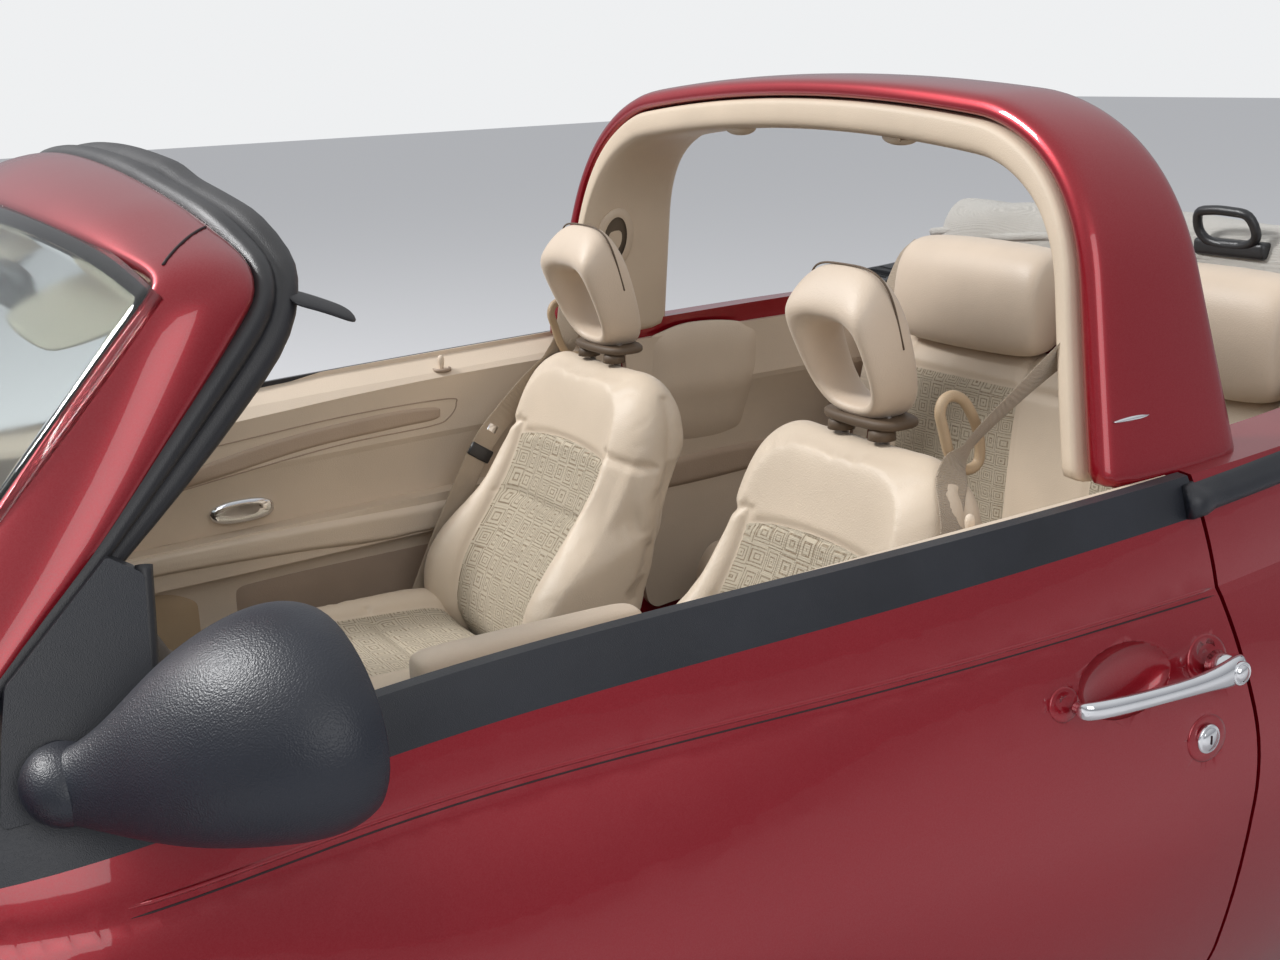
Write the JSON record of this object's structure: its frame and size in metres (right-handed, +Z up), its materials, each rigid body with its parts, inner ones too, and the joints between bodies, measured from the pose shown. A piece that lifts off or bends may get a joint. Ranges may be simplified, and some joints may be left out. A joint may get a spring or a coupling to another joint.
{
  "type": "two-door convertible car with roll hoop",
  "caption": "Two-door four-seat convertible car with a fixed roll hoop, folded soft top, opening doors, hood and trunk lid, steering and rolling wheels.",
  "frame": {"origin": "on the ground, under the middle of the body's length and width", "axes": "+X forward, +Y to the left side (driver's side), +Z up"},
  "size_m": [4.2876, 2.059, 1.5029],
  "materials": {
    "paint": "glossy metallic dark red",
    "black_trim": "satin black",
    "chrome": "polished",
    "screen_glass": "clear",
    "lamp_glass": "clear",
    "red_lamp": "red lens",
    "interior": "grained beige",
    "seat_cover": "beige vinyl with fabric middles",
    "top_fabric": "woven cloth",
    "tyre": "matt",
    "rim": "silver lacquer",
    "dark_steel": "satin black",
    "engine_block": "cast",
    "wheel_leather": "grained"
  },
  "bodies": {
    "chassis": {"body_shell": "paint", "front_fenders": "paint", "cowl": "paint", "wheel_liners": "black_trim", "floor_pan": "dark_steel", "front_bumper": "paint", "rear_bumper": "paint", "grille": "chrome", "windscreen_frame": "paint", "windscreen": "screen_glass", "roll_hoop": "paint", "hoop_lining": "interior", "front_lamps": "lamp_glass", "tail_lamps": "red_lamp", "top_well": "black_trim", "dashboard": "interior", "console": "interior", "front_seat_cushions": "seat_cover", "front_seat_backs": "seat_cover", "front_headrests": "seat_cover", "seat_bases": "interior", "rear_seat_cushion": "seat_cover", "rear_seat_back": "seat_cover", "rear_side_trim": "interior", "folded_top": "top_fabric", "engine": "engine_block", "exhaust": "dark_steel", "front_subframe": "dark_steel", "rear_axle": "dark_steel", "header_seal": "black_trim", "door_hinges": "dark_steel", "armrest": "seat_cover", "top_linkage": "black_trim", "seat_belts": "interior"},
    "hood": {"hood": "paint"},
    "trunk_lid": {"trunk_lid": "paint"},
    "fuel_flap": {"fuel_flap": "paint"},
    "steering_wheel": {"steering_wheel": "wheel_leather"},
    "door_left": {"door_left": "paint", "door_left_belt": "black_trim", "door_left_trim": "interior", "door_left_handle": "chrome", "mirror_left": "black_trim"},
    "knuckle_left": {"knuckle_left": "dark_steel"},
    "wheel_front_left": {"tyre_front_left": "tyre", "rim_front_left": "rim"},
    "wheel_rear_left": {"tyre_rear_left": "tyre", "rim_rear_left": "rim"},
    "door_right": {"door_right": "paint", "door_right_belt": "black_trim", "door_right_trim": "interior", "door_right_handle": "chrome", "mirror_right": "black_trim"},
    "knuckle_right": {"knuckle_right": "dark_steel"},
    "wheel_front_right": {"tyre_front_right": "tyre", "rim_front_right": "rim"},
    "wheel_rear_right": {"tyre_rear_right": "tyre", "rim_rear_right": "rim"}
  },
  "joints": [
    {"name": "door_left_hinge", "type": "hinge", "parent": "chassis", "child": "door_left", "pos_m": [0.868, 0.832, 0.56], "axis": [0, 0, -1], "range_deg": [0, 65]},
    {"name": "door_right_hinge", "type": "hinge", "parent": "chassis", "child": "door_right", "pos_m": [0.868, -0.832, 0.56], "axis": [0, 0, 1], "range_deg": [0, 65]},
    {"name": "hood_hinge", "type": "hinge", "parent": "chassis", "child": "hood", "pos_m": [1.1965, 0.119, 1.03723], "axis": [0, -1, 0], "range_deg": [0, 48]},
    {"name": "trunk_hinge", "type": "hinge", "parent": "chassis", "child": "trunk_lid", "pos_m": [-1.6065, 0.073, 1.0728], "axis": [0, 1, 0], "range_deg": [0, 68]},
    {"name": "fuel_flap_hinge", "type": "hinge", "parent": "chassis", "child": "fuel_flap", "pos_m": [-1.6925, 0.837, 0.625], "axis": [0, 0, -1], "range_deg": [0, 88]},
    {"name": "steering", "type": "hinge", "parent": "chassis", "child": "steering_wheel", "pos_m": [0.7, 0.368, 0.862], "axis": [-0.9063, 0, 0.4226], "range_deg": [-512, 512]},
    {"name": "steer_left", "type": "hinge", "parent": "chassis", "child": "knuckle_left", "pos_m": [1.299, 0.655, 0.316], "axis": [0, -0.1822, 0.9833], "range_deg": [-32, 32]},
    {"name": "steer_right", "type": "hinge", "parent": "chassis", "child": "knuckle_right", "pos_m": [1.299, -0.655, 0.316], "axis": [0, 0.1822, 0.9833], "range_deg": [-32, 32]},
    {"name": "roll_front_left", "type": "hinge", "parent": "knuckle_left", "child": "wheel_front_left", "pos_m": [1.299, 0.74, 0.316], "axis": [0, 1, 0], "continuous": true},
    {"name": "roll_rear_left", "type": "hinge", "parent": "chassis", "child": "wheel_rear_left", "pos_m": [-1.317, 0.74, 0.316], "axis": [0, 1, 0], "continuous": true},
    {"name": "roll_front_right", "type": "hinge", "parent": "knuckle_right", "child": "wheel_front_right", "pos_m": [1.299, -0.74, 0.316], "axis": [0, 1, 0], "continuous": true},
    {"name": "roll_rear_right", "type": "hinge", "parent": "chassis", "child": "wheel_rear_right", "pos_m": [-1.317, -0.74, 0.316], "axis": [0, 1, 0], "continuous": true}
  ],
  "couplings": [
    {"joint": "steer_left", "follows": "steering", "ratio": 0.0625},
    {"joint": "steer_right", "follows": "steering", "ratio": 0.0625}
  ]
}
